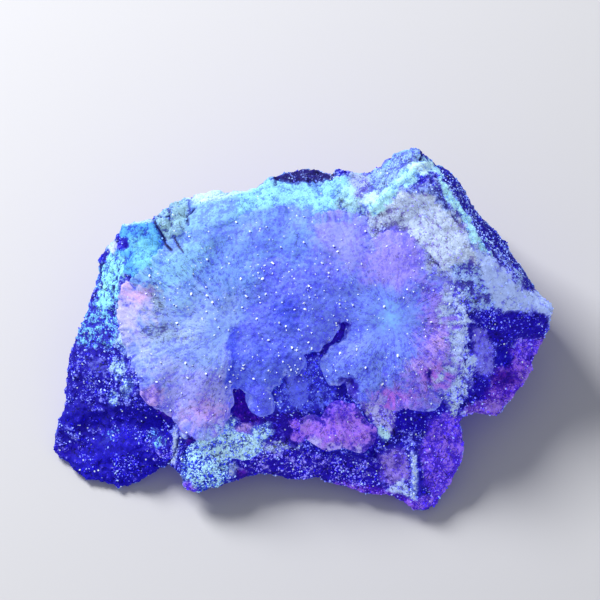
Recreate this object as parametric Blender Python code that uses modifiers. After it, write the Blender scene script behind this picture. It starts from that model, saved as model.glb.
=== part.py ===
"""A hand specimen of creedite: two radiating sprays under a drusy plate, on a block of host rock.

The specimen is modelled on its display face and then tipped back, so that it lies the way it is looked at.
The face is drawn on a sketch grid of 600 by 600 units, with its centre at (300, 300) and its rows counted
downwards. A depth is the distance in millimetres that the surface stands out towards the viewer.
"""

import math

import bpy
import numpy as np
from mathutils import Matrix, Vector, noise

MM = 0.001
SPECIMEN_WIDTH = 82 * MM
SKETCH_WIDTH = 510
UNIT = SPECIMEN_WIDTH / SKETCH_WIDTH
SKETCH_CENTRE = 300

TIP_BACK = math.radians(20)
GRID_STEP = 1.25 * MM
GAP = 0.3 * MM
KEPT_SHARE = 0.4
NOISE_SEED = 11

SLAB_LAYERS = 10
UNDERCUT_PER_MM = 0.004
INSET_SHARE = 0.055
INSET_DEPTH = 5.0 * MM
BASE_SINK = 1.0 * MM
RIM_RISE_SHARE = 0.3
RIM_RISE_REACH = 6.0 * MM
THINNEST_EDGE = 1.2 * MM
SMOOTH_FACTOR = 0.5
SMOOTH_PASSES = 1
WELD_DISTANCE = 0.01 * MM

LUMP_SIZE = 8.0 * MM
LUMP_HEIGHT = 0.5 * MM
LUMP_LAYERS = 3
LUMP_LAYER_FADE = 1.0
LUMP_LAYER_STEP = 2.0
FACET_SIZE = 4.5 * MM
FACET_TILT = 0.2
FACET_BULGE = 0.35
FACET_MIDDLE = 0.05
CELL_SPREAD = 7.3
FLANK_FACET_SIZE = 8.0 * MM
FLANK_FACET_TILT = 0.4
FLANK_ROUGHNESS = 0.5 * MM
FLANK_ROUGHNESS_SIZE = 4.0 * MM
FLANK_STARTS = 0.5 * MM
FLANK_IS_FULL = 4.0 * MM

SHARPEST_MITRE = 0.5
CUTTER_TOP = 40 * MM
TABLE_CUTTER_SIDE = 200 * MM

# Outline of the specimen, clockwise from the upper left corner: column, row, depth of the edge
OUTLINE = [
    (115, 221, 19), (127, 223, 19.5), (139, 219, 20), (152, 218, 20.5), (161, 208, 20), (176, 200, 20),
    (187, 202, 20), (200, 198, 20), (223, 192, 20), (235, 188, 20), (248, 188, 19.5), (263, 177, 19),
    (280, 170, 17.5), (305, 166, 17), (330, 169, 18), (348, 166, 19.5), (358, 173, 19.5), (370, 171, 20),
    (386, 161, 21), (404, 149, 22.5), (417, 145, 23), (430, 152, 21.5), (435, 164, 18.5), (448, 166, 15),
    (460, 177, 14), (471, 193, 13.5), (480, 210, 13.5), (493, 223, 13.5), (510, 238, 13), (519, 258, 13),
    (531, 273, 13.5), (536, 287, 14.5), (546, 295, 16), (557, 305, 17), (556, 318, 16), (554, 332, 14),
    (546, 345, 12.5), (538, 360, 12.5), (535, 374, 13), (524, 391, 13), (511, 403, 13), (506, 416, 13.5),
    (492, 419, 14), (475, 414, 15), (458, 415, 17), (464, 430, 15), (466, 448, 15), (463, 466, 15),
    (450, 490, 15), (441, 499, 15), (439, 511, 14.5), (429, 515, 14), (415, 512, 14), (397, 500, 14.5),
    (383, 496, 14.5), (372, 498, 14.5), (352, 492, 14.5), (333, 486, 15), (312, 478, 15), (297, 484, 15),
    (280, 479, 15), (261, 475, 15.5), (245, 480, 16), (224, 486, 16), (211, 493, 15.5), (198, 495, 15.5),
    (185, 496, 15.5), (180, 483, 16), (182, 469, 17), (174, 461, 16.5), (163, 470, 14), (150, 477, 13.5),
    (136, 484, 12.8), (122, 490, 12.4), (97, 484, 12), (76, 480, 11.8), (64, 464, 11.2), (49, 456, 10.8),
    (49, 444, 10.6), (55, 422, 11), (62, 406, 11), (62, 385, 11), (62, 366, 11.5), (68, 345, 12),
    (77, 325, 13), (83, 312, 13), (90, 289, 13.5), (95, 264, 13.5), (97, 250, 13.5), (108, 245, 16),
    (113, 236, 18),
]

# Depths inside the outline, feature by feature: column, row, depth
RELIEF = {
    "upper_left_block": [(130, 250, 20.5), (125, 232, 20), (112, 262, 18.5), (165, 225, 21),
                         (180, 240, 21.5)],
    "left_slope": [(100, 290, 16), (90, 330, 14.5), (110, 310, 17.5), (105, 345, 16), (85, 375, 13.5),
                   (120, 365, 17), (110, 395, 15), (80, 410, 12.5)],
    "left_ledge": [(150, 405, 18), (130, 420, 13.5), (165, 420, 14.5), (100, 430, 12.3)],
    "left_toe": [(125, 450, 14.5), (160, 445, 15.5), (90, 455, 12), (130, 475, 13.5), (172, 435, 17),
                 (174, 452, 16.8)],
    "left_spray": [(135, 300, 20.5), (130, 330, 20), (148, 385, 19.5), (160, 280, 21.5), (200, 260, 22.3),
                   (215, 330, 22.5), (180, 330, 21.8), (170, 370, 21.3), (200, 390, 21.5), (215, 420, 20),
                   (205, 437, 19)],
    "seam": [(235, 300, 22.6), (238, 340, 21.9), (247, 400, 18)],
    "drusy_plate": [(285, 300, 23.8), (270, 250, 23.2), (300, 230, 23), (285, 340, 23.2), (255, 360, 22.6),
                    (262, 400, 20.8), (300, 360, 22.3), (310, 330, 23.2), (320, 290, 23.6)],
    "hollow_under_plate": [(285, 390, 19.3), (310, 380, 19.2), (300, 400, 18.8), (280, 430, 17.5),
                           (260, 455, 16.8), (300, 455, 16.3), (330, 470, 15.8), (338, 335, 20.5)],
    "lower_druse": [(225, 440, 18.5), (245, 448, 17.5), (205, 475, 17.5), (190, 485, 16.8), (225, 478, 17),
                    (190, 445, 16.8)],
    "violet_spray": [(340, 400, 19.5), (340, 425, 19), (345, 445, 18.3), (310, 430, 18), (370, 440, 17.5),
                     (355, 460, 16.5)],
    "right_spray": [(385, 325, 23.3), (360, 300, 23.3), (350, 260, 23.6), (335, 240, 23.5), (400, 280, 23.6),
                    (430, 330, 22.8), (440, 370, 22), (400, 390, 21.2), (360, 380, 21.3), (420, 400, 20.3),
                    (385, 408, 18.8)],
    "right_band": [(455, 300, 22.8), (460, 340, 21.5), (457, 370, 20.3), (450, 395, 19), (458, 410, 17.8),
                   (405, 415, 17.3), (430, 415, 17)],
    "right_toe": [(440, 440, 17), (420, 455, 18), (414, 478, 17.5), (412, 497, 16.2), (395, 470, 16.8),
                  (400, 440, 17.3), (440, 470, 16.3), (430, 500, 15.6), (380, 480, 15.8)],
    "right_flank": [(480, 300, 22.5), (475, 330, 20.5), (480, 365, 18), (478, 395, 16.2), (497, 345, 17.2),
                    (515, 335, 16.2), (535, 330, 15.8), (510, 365, 14.8), (520, 385, 14), (495, 400, 14.8)],
    "ridge_crest": [(400, 190, 24.5), (415, 165, 24.5), (430, 178, 25.3), (455, 212, 26), (475, 240, 25.6),
                    (495, 262, 24.3), (515, 285, 22.3), (535, 305, 20.3), (550, 312, 18.6)],
    "pale_field": [(420, 220, 24.6), (440, 250, 25), (410, 245, 24), (460, 275, 24.3), (435, 285, 23.7),
                   (490, 295, 22.8), (520, 318, 19.5)],
    "far_flank": [(450, 180, 20.5), (473, 213, 19.5), (497, 245, 18.5), (518, 266, 17.5), (531, 284, 17.5)],
    "top_edge": [(375, 205, 22.5), (345, 195, 21), (345, 180, 20.2), (300, 190, 19.5), (310, 205, 21.5),
                 (260, 200, 21), (230, 215, 21.8), (390, 175, 22.3)],
}
RELIEF_SOFTNESS = 2.0 * MM

# Where crystals radiate from: column, row, reach of the rays in millimetres, height of their ridges
RAY_CENTRES = [(215, 330, 13, 0.45), (385, 325, 13, 0.45), (330, 396, 9, 0.55)]
RAY_COUNT = 34
RAY_FADE = 3.0 * MM

# Outline of the creedite crust, clockwise: both sprays and the drusy plate with its scalloped lower edge
CRUST_OUTLINE = [
    (128, 290), (152, 272), (172, 246), (205, 234), (245, 222), (285, 212), (322, 222), (336, 217),
    (362, 222), (368, 250), (388, 238), (404, 240), (418, 258), (422, 277), (445, 281), (450, 308),
    (457, 336), (452, 366), (441, 388), (430, 404), (408, 400), (392, 402), (372, 393), (356, 396),
    (346, 380), (330, 384), (324, 366), (328, 350), (345, 340), (350, 322), (338, 320), (330, 337),
    (318, 349), (300, 353), (307, 365), (296, 374), (286, 368), (279, 385), (266, 388), (273, 402),
    (270, 413), (256, 411), (249, 398), (240, 384), (231, 386), (232, 402), (226, 420), (208, 432),
    (190, 428), (178, 412), (162, 402), (150, 396), (146, 374), (134, 350), (125, 320),
]
CRUST_FLOOR = 16.5 * MM
CRUST_LIFT = 1.0 * MM
CRUST_LIFT_ROWS = (325, 375)

VIOLET_OUTLINE = [
    (301, 420), (312, 416), (322, 421), (330, 406), (344, 402), (356, 408), (366, 424), (376, 428),
    (374, 441), (362, 452), (344, 446), (326, 450), (312, 441), (302, 434),
]
VIOLET_FLOOR = 13.5 * MM
VIOLET_LIFT = 0.8 * MM

DRUSE_OUTLINE = [
    (187, 449), (198, 444), (202, 431), (214, 437), (232, 432), (252, 438), (261, 449), (247, 459),
    (232, 456), (223, 462), (225, 473), (219, 480), (207, 485), (195, 484), (189, 474), (190, 462),
]
DRUSE_FLOOR = 14.5 * MM
DRUSE_LIFT = 0.6 * MM

MATERIALS = {
    "host_rock": ((0.045, 0.035, 0.45), 0.75),
    "creedite": ((0.22, 0.31, 0.86), 0.45),
    "violet_creedite": ((0.24, 0.11, 0.80), 0.5),
    "drusy_creedite": ((0.20, 0.45, 0.78), 0.4),
}


def on_face(column, row, depth=0.0):
    """A point of the sketch grid in metres on the face, which still lies flat."""
    return Vector(((column - SKETCH_CENTRE) * UNIT, (SKETCH_CENTRE - row) * UNIT, depth))


def softened(distance):
    return np.sqrt(distance**2 + RELIEF_SOFTNESS**2)


class Relief:
    """The depth of the face: a smooth surface through the edge's depths and the features' depths."""

    def __init__(self, spots):
        points = [on_face(column, row, depth * MM) for column, row, depth in spots]
        self.spots = np.array([p[:2] for p in points])
        depths = np.array([p[2] for p in points])
        self.mean = depths.mean()
        apart = np.linalg.norm(self.spots[:, None] - self.spots[None], axis=2)
        self.weights = np.linalg.solve(softened(apart), depths - self.mean)

    def depth(self, places):
        apart = np.linalg.norm(places[:, None] - self.spots[None], axis=2)
        return self.mean + softened(apart) @ self.weights


def facet_height(place, size, tilt):
    """Broken rock's flat facets: each cell of a Voronoi pattern tilts its own way, up to the next cell's."""
    scaled = place / size
    faces = []
    for centre in noise.voronoi(scaled)[1]:
        lean = (noise.cell_vector(centre * CELL_SPREAD) * 2 - Vector((1, 1, 1))) * tilt
        run = scaled - centre
        faces.append(run.dot(lean) - FACET_BULGE * run.length_squared)
    return (max(faces) + FACET_MIDDLE) * size


def lump_height(place):
    layers = noise.fractal(place / LUMP_SIZE, LUMP_LAYER_FADE, LUMP_LAYER_STEP, LUMP_LAYERS)
    return layers * LUMP_HEIGHT


def ray_height(place):
    """Ridges of crystals that fan out from the middle of each spray."""
    height = 0.0
    for column, row, reach, ridge in RAY_CENTRES:
        run = place - on_face(column, row)
        distance = run.length
        around = run.normalized() * RAY_COUNT / math.tau
        wave = noise.noise(Vector((around.x, around.y, distance / (reach * MM))))
        inside = smooth_step(distance / RAY_FADE) * (1 - smooth_step((distance - reach * MM) / RAY_FADE))
        height += wave * ridge * MM * inside
    return height


def edge_distance(places, outline):
    """Each place's distance from a closed outline."""
    start = np.array([on_face(*point[:2])[:2] for point in outline])
    run = np.roll(start, -1, axis=0) - start
    from_start = places[:, None] - start[None]
    along = np.clip((from_start * run).sum(2) / (run**2).sum(1), 0, 1)
    return np.linalg.norm(from_start - along[..., None] * run, axis=2).min(1)


def smooth_step(value):
    t = np.clip(value, 0, 1)
    return t * t * (3 - 2 * t)


def collection(name):
    made = bpy.data.collections.new(name)
    bpy.context.scene.collection.children.link(made)
    return made


def outline_object(name, points, low, high, group):
    """A closed outline filled and extruded along the face's depth, from low to high."""
    curve = bpy.data.curves.new(name, "CURVE")
    curve.dimensions = "2D"
    curve.fill_mode = "BOTH"
    curve.extrude = (high - low) / 2
    spline = curve.splines.new("POLY")
    spline.points.add(len(points) - 1)
    for spline_point, place in zip(spline.points, points):
        spline_point.co = (place[0], place[1], 0, 1)
    spline.use_cyclic_u = True
    obj = bpy.data.objects.new(name, curve)
    obj.location.z = (low + high) / 2
    group.objects.link(obj)
    return obj


def as_mesh(obj):
    """Replaces a curve, or an object with modifiers, by its evaluated mesh with its place applied."""
    graph = bpy.context.evaluated_depsgraph_get()
    mesh = bpy.data.meshes.new_from_object(obj.evaluated_get(graph))
    mesh.transform(obj.matrix_world)
    made = bpy.data.objects.new(obj.name, mesh)
    group = obj.users_collection[0]
    name = obj.name
    bpy.data.objects.remove(obj)
    made.name = name
    group.objects.link(made)
    weld = made.modifiers.new("weld", "WELD")
    weld.merge_threshold = WELD_DISTANCE
    return made


def apply_modifiers(obj):
    graph = bpy.context.evaluated_depsgraph_get()
    mesh = bpy.data.meshes.new_from_object(obj.evaluated_get(graph))
    obj.modifiers.clear()
    obj.data = mesh
    return obj


def shape_slab(mesh, relief, lift):
    """Bends a flat slab into the specimen: its upper side takes the relief, its lower side the table."""
    count = len(mesh.vertices)
    places = np.zeros(count * 3)
    mesh.vertices.foreach_get("co", places)
    places = places.reshape(-1, 3)
    height = places[:, 2]
    share = (height - height.min()) / (height.max() - height.min())
    plan = places[:, :2].copy()
    top = relief.depth(plan)
    above_table = top * math.cos(TIP_BACK) + plan[:, 1] * math.sin(TIP_BACK)
    for i in range(count):
        spot = Vector((plan[i, 0], plan[i, 1], 0))
        top[i] += lump_height(spot) + ray_height(spot) + facet_height(spot, FACET_SIZE, FACET_TILT)
    near_edge = 1 - smooth_step(edge_distance(plan, OUTLINE) / RIM_RISE_REACH)
    table = -BASE_SINK + (BASE_SINK + RIM_RISE_SHARE * above_table) * near_edge
    bottom = (table - plan[:, 1] * math.sin(TIP_BACK)) / math.cos(TIP_BACK)
    bottom = np.minimum(bottom, top - THINNEST_EDGE)
    top += lift(plan)
    depth = bottom + share * (top - bottom)
    below = top - depth
    narrowing = 1 - UNDERCUT_PER_MM * below / MM - INSET_SHARE * smooth_step(below / INSET_DEPTH)
    shaped = np.column_stack([plan * narrowing[:, None], depth])
    mesh.vertices.foreach_set("co", shaped.ravel())
    mesh.update()
    off_base = np.clip(near_edge + share * SLAB_LAYERS, 0, 1)
    roughen_flanks(mesh, smooth_step((below - FLANK_STARTS) / FLANK_IS_FULL) * off_base)


def roughen_flanks(mesh, amount):
    """Breaks the sides and the underside of the edge into flat faces."""
    normals = [vertex.normal.copy() for vertex in mesh.vertices]
    for vertex, normal, share in zip(mesh.vertices, normals, amount):
        face = facet_height(vertex.co, FLANK_FACET_SIZE, FLANK_FACET_TILT)
        wander = noise.noise_vector(vertex.co / FLANK_ROUGHNESS_SIZE) * FLANK_ROUGHNESS
        vertex.co += (normal * face + wander) * share
    mesh.update()


def specimen_block(name, relief, lift, group):
    """The whole specimen as one closed solid, still on its back."""
    slab = outline_object(name, [on_face(c, r) for c, r, _ in OUTLINE], 0, SLAB_LAYERS * GRID_STEP, group)
    slab = as_mesh(slab)
    cells = slab.modifiers.new("cells", "REMESH")
    cells.mode = "VOXEL"
    cells.voxel_size = GRID_STEP
    apply_modifiers(slab)
    shape_slab(slab.data, relief, lift)
    smooth = slab.modifiers.new("smooth", "SMOOTH")
    smooth.factor = SMOOTH_FACTOR
    smooth.iterations = SMOOTH_PASSES
    fewer = slab.modifiers.new("fewer faces", "DECIMATE")
    fewer.ratio = KEPT_SHARE
    fewer.use_collapse_triangulate = True
    return apply_modifiers(slab)


def widened(points, by):
    """A closed outline moved outwards by a distance."""
    places = [Vector(p[:2]) for p in points]
    area = sum(a.cross(b) for a, b in zip(places, places[1:] + places[:1]))
    outwards = 1 if area > 0 else -1
    moved = []
    for before, here, after in zip(places[-1:] + places[:-1], places, places[1:] + places[:1]):
        into, away = (here - before).normalized(), (after - here).normalized()
        normals = [Vector((d.y, -d.x)) * outwards for d in (into, away)]
        mitre = (normals[0] + normals[1]).normalized()
        moved.append(here + mitre * by / max(mitre.dot(normals[0]), SHARPEST_MITRE))
    return moved


def cutter(name, outline, floor, gap, group):
    """A closed prism over an outline, from its floor to well above the face."""
    points = widened([on_face(c, r) for c, r in outline], gap)
    made = as_mesh(outline_object(name, points, floor - gap, CUTTER_TOP, group))
    apply_modifiers(made)
    made.hide_render = True
    made.display_type = "WIRE"
    return made


def boolean(obj, tool, operation):
    step = obj.modifiers.new(f"{operation.lower()} {tool.name}", "BOOLEAN")
    step.operation = operation
    step.object = tool
    step.solver = "EXACT"


def finish(name, material_name):
    """Gives a sub-part its material."""
    obj = bpy.data.objects[name]
    colour, roughness = MATERIALS[material_name]
    material = bpy.data.materials.new(material_name)
    material.use_nodes = True
    shader = material.node_tree.nodes["Principled BSDF"]
    shader.inputs["Base Color"].default_value = (*colour, 1)
    shader.inputs["Roughness"].default_value = roughness
    shader.inputs["Metallic"].default_value = 0
    obj.data.materials.clear()
    obj.data.materials.append(material)


def table_cutter(group):
    """The space below the table, in the frame of the face that lies flat."""
    bpy.ops.mesh.primitive_cube_add(size=TABLE_CUTTER_SIDE)
    box = bpy.context.active_object
    box.name = "space_below_table"
    lowered = Matrix.Translation((0, 0, -TABLE_CUTTER_SIDE / 2))
    box.data.transform(Matrix.Rotation(-TIP_BACK, 4, "X") @ lowered)
    for other in box.users_collection:
        other.objects.unlink(box)
    group.objects.link(box)
    box.hide_render = True
    box.display_type = "WIRE"
    return box


def level(_plan):
    return 0.0


def crust_lift(plan):
    """The crust stands proud at its lower edge and runs level into the rock at its upper edge."""
    rows = SKETCH_CENTRE - plan[:, 1] / UNIT
    first, last = CRUST_LIFT_ROWS
    return CRUST_LIFT * smooth_step((rows - first) / (last - first))


def growth(name, outline, floor, relief, lift, material_name, host, groups):
    """A crystal growth seated in its own pocket of the host rock, with a hairline gap round it."""
    parts, cutters = groups
    made = specimen_block(name, relief, lift, parts)
    boolean(made, cutter(f"{name}_outline", outline, floor, 0.0, cutters), "INTERSECT")
    boolean(host, cutter(f"{name}_pocket", outline, floor, GAP, cutters), "DIFFERENCE")
    apply_modifiers(made)
    finish(name, material_name)


def tip_back(obj):
    obj.data.transform(Matrix.Rotation(TIP_BACK, 4, "X"))


def main():
    for obj in list(bpy.data.objects):
        bpy.data.objects.remove(obj)
    noise.seed_set(NOISE_SEED)
    parts, cutters = collection("creedite_specimen"), collection("cutters")
    relief = Relief(OUTLINE + [spot for spots in RELIEF.values() for spot in spots])
    matrix = specimen_block("matrix", relief, level, parts)
    boolean(matrix, table_cutter(cutters), "DIFFERENCE")
    groups = (parts, cutters)
    growth("creedite_crust", CRUST_OUTLINE, CRUST_FLOOR, relief, crust_lift, "creedite", matrix, groups)
    growth("violet_spray", VIOLET_OUTLINE, VIOLET_FLOOR, relief, lambda plan: VIOLET_LIFT,
           "violet_creedite", matrix, groups)
    growth("lower_druse", DRUSE_OUTLINE, DRUSE_FLOOR, relief, lambda plan: DRUSE_LIFT,
           "drusy_creedite", matrix, groups)
    apply_modifiers(matrix)
    finish("matrix", "host_rock")
    for obj in parts.objects:
        tip_back(obj)


main()
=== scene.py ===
import math

import bpy
import numpy as np
from mathutils import Matrix, Vector, noise
from mathutils.bvhtree import BVHTree


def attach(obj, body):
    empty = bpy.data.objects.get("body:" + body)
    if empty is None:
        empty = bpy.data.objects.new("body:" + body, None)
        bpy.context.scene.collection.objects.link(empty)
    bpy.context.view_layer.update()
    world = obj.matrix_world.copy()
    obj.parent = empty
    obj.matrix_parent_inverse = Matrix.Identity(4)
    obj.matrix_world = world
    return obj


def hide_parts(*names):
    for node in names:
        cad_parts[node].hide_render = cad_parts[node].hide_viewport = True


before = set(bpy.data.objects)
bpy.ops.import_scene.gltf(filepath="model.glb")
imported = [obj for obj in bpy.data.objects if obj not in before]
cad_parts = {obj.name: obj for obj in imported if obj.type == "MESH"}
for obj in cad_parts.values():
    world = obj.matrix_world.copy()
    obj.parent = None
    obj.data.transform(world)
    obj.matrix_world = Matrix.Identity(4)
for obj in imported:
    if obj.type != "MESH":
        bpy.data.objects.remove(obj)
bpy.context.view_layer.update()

# Sizes in metres. The display face is laid out on a sketch grid of 600 by 600 units, centre (300, 300).
MM = 0.001
UNIT = 82 * MM / 510
GRID = 600
CENTRE = 300
TIP_BACK = math.radians(20)
FACE_TO_WORLD = Matrix.Rotation(TIP_BACK, 4, "X")
FACE_NORMAL = Vector((0, -math.sin(TIP_BACK), math.cos(TIP_BACK)))
FACE = np.array(FACE_NORMAL)

# How fine each piece's skin is
ROCK_CELL = 0.55 * MM
CRUST_CELL = 0.4 * MM
SMALL_CELL = 0.3 * MM

# Sizes of the grain that the materials show
ROCK_GRAIN = 0.42 * MM
CRUST_GRAIN = 0.36 * MM
SPECKLE = 0.55 * MM

# Heights and depths of the relief
CRUMB_HEIGHT = 0.75 * MM
CRACK_DEPTH = 0.7 * MM
RAY_HEIGHT = 0.09 * MM
RIM_DROP = 0.12 * MM
# Points deeper than this below the display side are flank, and get no cracks, crests or hollows
FACE_DEPTH = 0.8 * MM
# How far a growth's sides swell out, in millimetres, so that they close against the rock
SWELL = 0.3
# A rind of no thickness would let the flank's colours through onto the display face
THINNEST_RIND = 0.35 * MM
# Rays fade out over this many units at the edge of a growth
RAY_FADE = 12
# The edges of the crust's colours are softer than the rock's by this factor
CRUST_SPREAD = 2.6

# How much of its own colour a surface reflects and gives off
BODY = 0.5
GLOW = 0.46
CRYSTAL_GLOW = 0.6
# The glow is bluer than a display colour of 255 can say
GRAIN_LIFT = np.array((1.0, 1.0, 1.15))
GAP_LIFT = np.array((0.95, 0.8, 1.3))
GLINT_COLOUR = (0.75, 0.88, 1.0, 1)

# Columns of a coat: grain colour, gap colour, share of grains, share of glints, lumpiness
GRAIN, GAP, COVER, GLINT, LUMPS = slice(0, 3), slice(3, 6), 6, 7, 8

CAMERA_DISTANCE = 0.8
FACE_HEIGHT = 18 * MM
FILM_WIDTH = 36
KEY_PLACE = (-0.32, 0.3, 0.36)
RANDOM = np.random.default_rng(21)

# Finishes: colour of the grains, colour of the gaps between them, share of grains, share of glints,
# and how lumpy it is
FINISHES = {
    "navy_rock": ((124, 132, 242), (30, 22, 158), 0.34, 0.6, 1.0),
    # Dark rock on the flank, and painted shade under the knob and in hollows
    "deep_rock_and_shade": ((112, 118, 240), (31, 16, 168), 0.22, 0.5, 1.0),
    "flank_rock": ((96, 96, 222), (34, 24, 158), 0.32, 0.5, 1.0),
    "slate_rock": ((92, 98, 210), (62, 62, 192), 0.7, 0.2, 0.7),
    "far_rock": ((146, 176, 236), (27, 20, 148), 0.28, 1.0, 1.0),
    "violet_rock": ((148, 110, 244), (84, 56, 218), 0.52, 0.35, 1.0),
    "plum_rock": ((142, 96, 226), (80, 36, 196), 0.5, 0.4, 1.0),
    "red_violet_rock": ((80, 26, 172), (44, 14, 152), 0.5, 0.0, 0.8),
    # Painted shade, for pits, crevices, the hole in the crust and the rock under the crust's free lower edge
    "painted_shade": ((40, 22, 150), (22, 10, 136), 0.3, 0.0, 0.8),
    "toe_rock": ((88, 78, 228), (23, 13, 168), 0.23, 0.9, 1.0),
    "toe_blue": ((50, 42, 204), (24, 15, 168), 0.36, 0.3, 0.9),
    "lavender_face": ((126, 126, 240), (94, 88, 220), 0.7, 0.2, 0.6),
    "lavender_rock": ((152, 118, 226), (102, 66, 202), 0.6, 0.3, 0.9),
    "bottom_rock": ((150, 142, 246), (36, 20, 172), 0.32, 1.0, 1.0),
    "brown_violet": ((136, 116, 210), (90, 70, 196), 0.6, 0.3, 0.8),
    "outer_navy": ((70, 86, 216), (30, 25, 160), 0.35, 0.3, 1.0),
    "block_blue": ((84, 168, 224), (46, 102, 198), 0.64, 0.2, 0.6),
    "cyan_bright": ((124, 214, 238), (82, 158, 222), 0.8, 0.2, 0.65),
    "cyan_band": ((150, 236, 240), (66, 118, 204), 0.7, 0.4, 1.0),
    "cyan_sparse": ((122, 200, 236), (44, 50, 176), 0.5, 0.5, 1.0),
    "cyan_rim": ((150, 226, 242), (108, 176, 234), 0.72, 0.2, 0.55),
    "cyan_patch": ((184, 230, 240), (78, 108, 204), 0.6, 0.5, 1.0),
    "cyan_lump": ((180, 234, 244), (42, 66, 186), 0.52, 0.6, 1.0),
    "ice": ((196, 220, 246), (118, 150, 226), 0.66, 0.3, 0.7),
    "crest": ((176, 240, 246), (112, 182, 228), 0.78, 0.2, 0.6),
    "white_rim": ((200, 240, 244), (154, 214, 240), 0.8, 0.1, 0.5),
    "pale_knob": ((196, 218, 248), (130, 156, 226), 0.85, 0.1, 0.5),
    "cobbles": ((146, 194, 210), (86, 122, 186), 0.74, 0.3, 0.85),
    "smooth_rim": ((140, 198, 236), (118, 170, 232), 0.6, 0.15, 0.35),
    "dark_top": ((104, 122, 186), (27, 23, 100), 0.24, 0.5, 1.0),
    "grey_rim": ((166, 186, 226), (108, 116, 202), 0.62, 0.3, 0.8),
    "peak": ((146, 188, 226), (86, 112, 192), 0.6, 0.4, 0.9),
    "groove": ((128, 154, 216), (72, 84, 170), 0.56, 0.6, 0.9),
    "cream": ((192, 212, 234), (146, 150, 206), 0.8, 0.3, 0.6),
    "cream_dark": ((168, 186, 212), (114, 120, 168), 0.66, 0.3, 0.8),
    "ridge": ((180, 205, 255), (140, 162, 248), 0.82, 0.2, 0.5),
    "ridge_speckled": ((152, 184, 236), (80, 86, 188), 0.6, 0.4, 0.9),
    "pale_band": ((184, 208, 246), (92, 94, 218), 0.64, 0.5, 1.0),
    "pale_cream": ((182, 184, 240), (112, 98, 214), 0.6, 0.4, 0.9),
    "plate": ((114, 136, 244), (96, 114, 238), 0.55, 0.6, 0.5),
    "plate_dark": ((78, 99, 228), (58, 76, 214), 0.55, 0.3, 0.55),
    "plate_upper": ((122, 164, 242), (108, 144, 240), 0.55, 0.4, 0.45),
    "flake": ((100, 114, 240), (80, 90, 228), 0.6, 0.5, 0.6),
    "spray": ((148, 178, 242), (118, 150, 234), 0.6, 0.3, 0.5),
    "spray_core": ((146, 184, 248), (132, 170, 246), 0.6, 0.2, 0.25),
    "spray_upper": ((112, 154, 230), (84, 118, 208), 0.6, 0.4, 0.55),
    "spray_lavender": ((160, 166, 243), (128, 134, 234), 0.6, 0.3, 0.5),
    "spray_grey": ((140, 166, 196), (88, 102, 160), 0.6, 0.3, 0.8),
    "pale_lavender": ((208, 206, 250), (184, 188, 248), 0.75, 0.2, 0.35),
    "pink": ((226, 186, 246), (200, 172, 244), 0.7, 0.1, 0.45),
    "pink_lavender": ((196, 166, 240), (150, 134, 230), 0.6, 0.3, 0.7),
    "top_violet": ((158, 166, 251), (144, 150, 248), 0.6, 0.3, 0.3),
    "pink_violet": ((162, 152, 248), (140, 138, 242), 0.6, 0.3, 0.4),
    "right_core": ((122, 152, 241), (108, 134, 235), 0.6, 0.2, 0.3),
    "bright_core": ((132, 188, 246), (118, 168, 240), 0.8, 0.1, 0.2),
    "right_spray": ((120, 146, 240), (90, 112, 222), 0.55, 0.4, 0.6),
    "right_violet": ((150, 134, 241), (110, 96, 222), 0.6, 0.3, 0.7),
    "magenta": ((192, 118, 241), (134, 88, 224), 0.66, 0.2, 0.7),
    "violet_spray": ((172, 122, 246), (116, 78, 228), 0.64, 0.4, 0.7),
    "violet_deep": ((136, 92, 238), (84, 56, 212), 0.55, 0.4, 0.7),
    "violet_pale": ((188, 182, 246), (140, 120, 232), 0.7, 0.2, 0.6),
    "hollow": ((94, 110, 238), (54, 58, 194), 0.5, 0.8, 0.9),
    "lobe": ((100, 114, 242), (76, 86, 226), 0.75, 0.4, 0.6),
    "dark_violet": ((80, 70, 214), (38, 18, 156), 0.2, 0.4, 0.9),
    # A painted highlight along the crust's free lower edge
    "rim_highlight": ((176, 192, 250), (134, 154, 244), 0.8, 0.1, 0.4),
    "crack": ((30, 26, 92), (14, 10, 62), 0.1, 0.0, 0.5),
    "ledge_rock_and_shade": ((74, 62, 204), (20, 11, 154), 0.14, 0.2, 1.0),
    "spray_teal": ((138, 198, 238), (108, 162, 228), 0.6, 0.3, 0.55),
    "spray_pale": ((156, 206, 250), (134, 184, 246), 0.6, 0.2, 0.3),
    "spray_bright": ((172, 192, 250), (144, 166, 244), 0.6, 0.3, 0.45),
    "plate_low": ((98, 120, 232), (78, 98, 220), 0.55, 0.5, 0.55),
}

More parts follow.
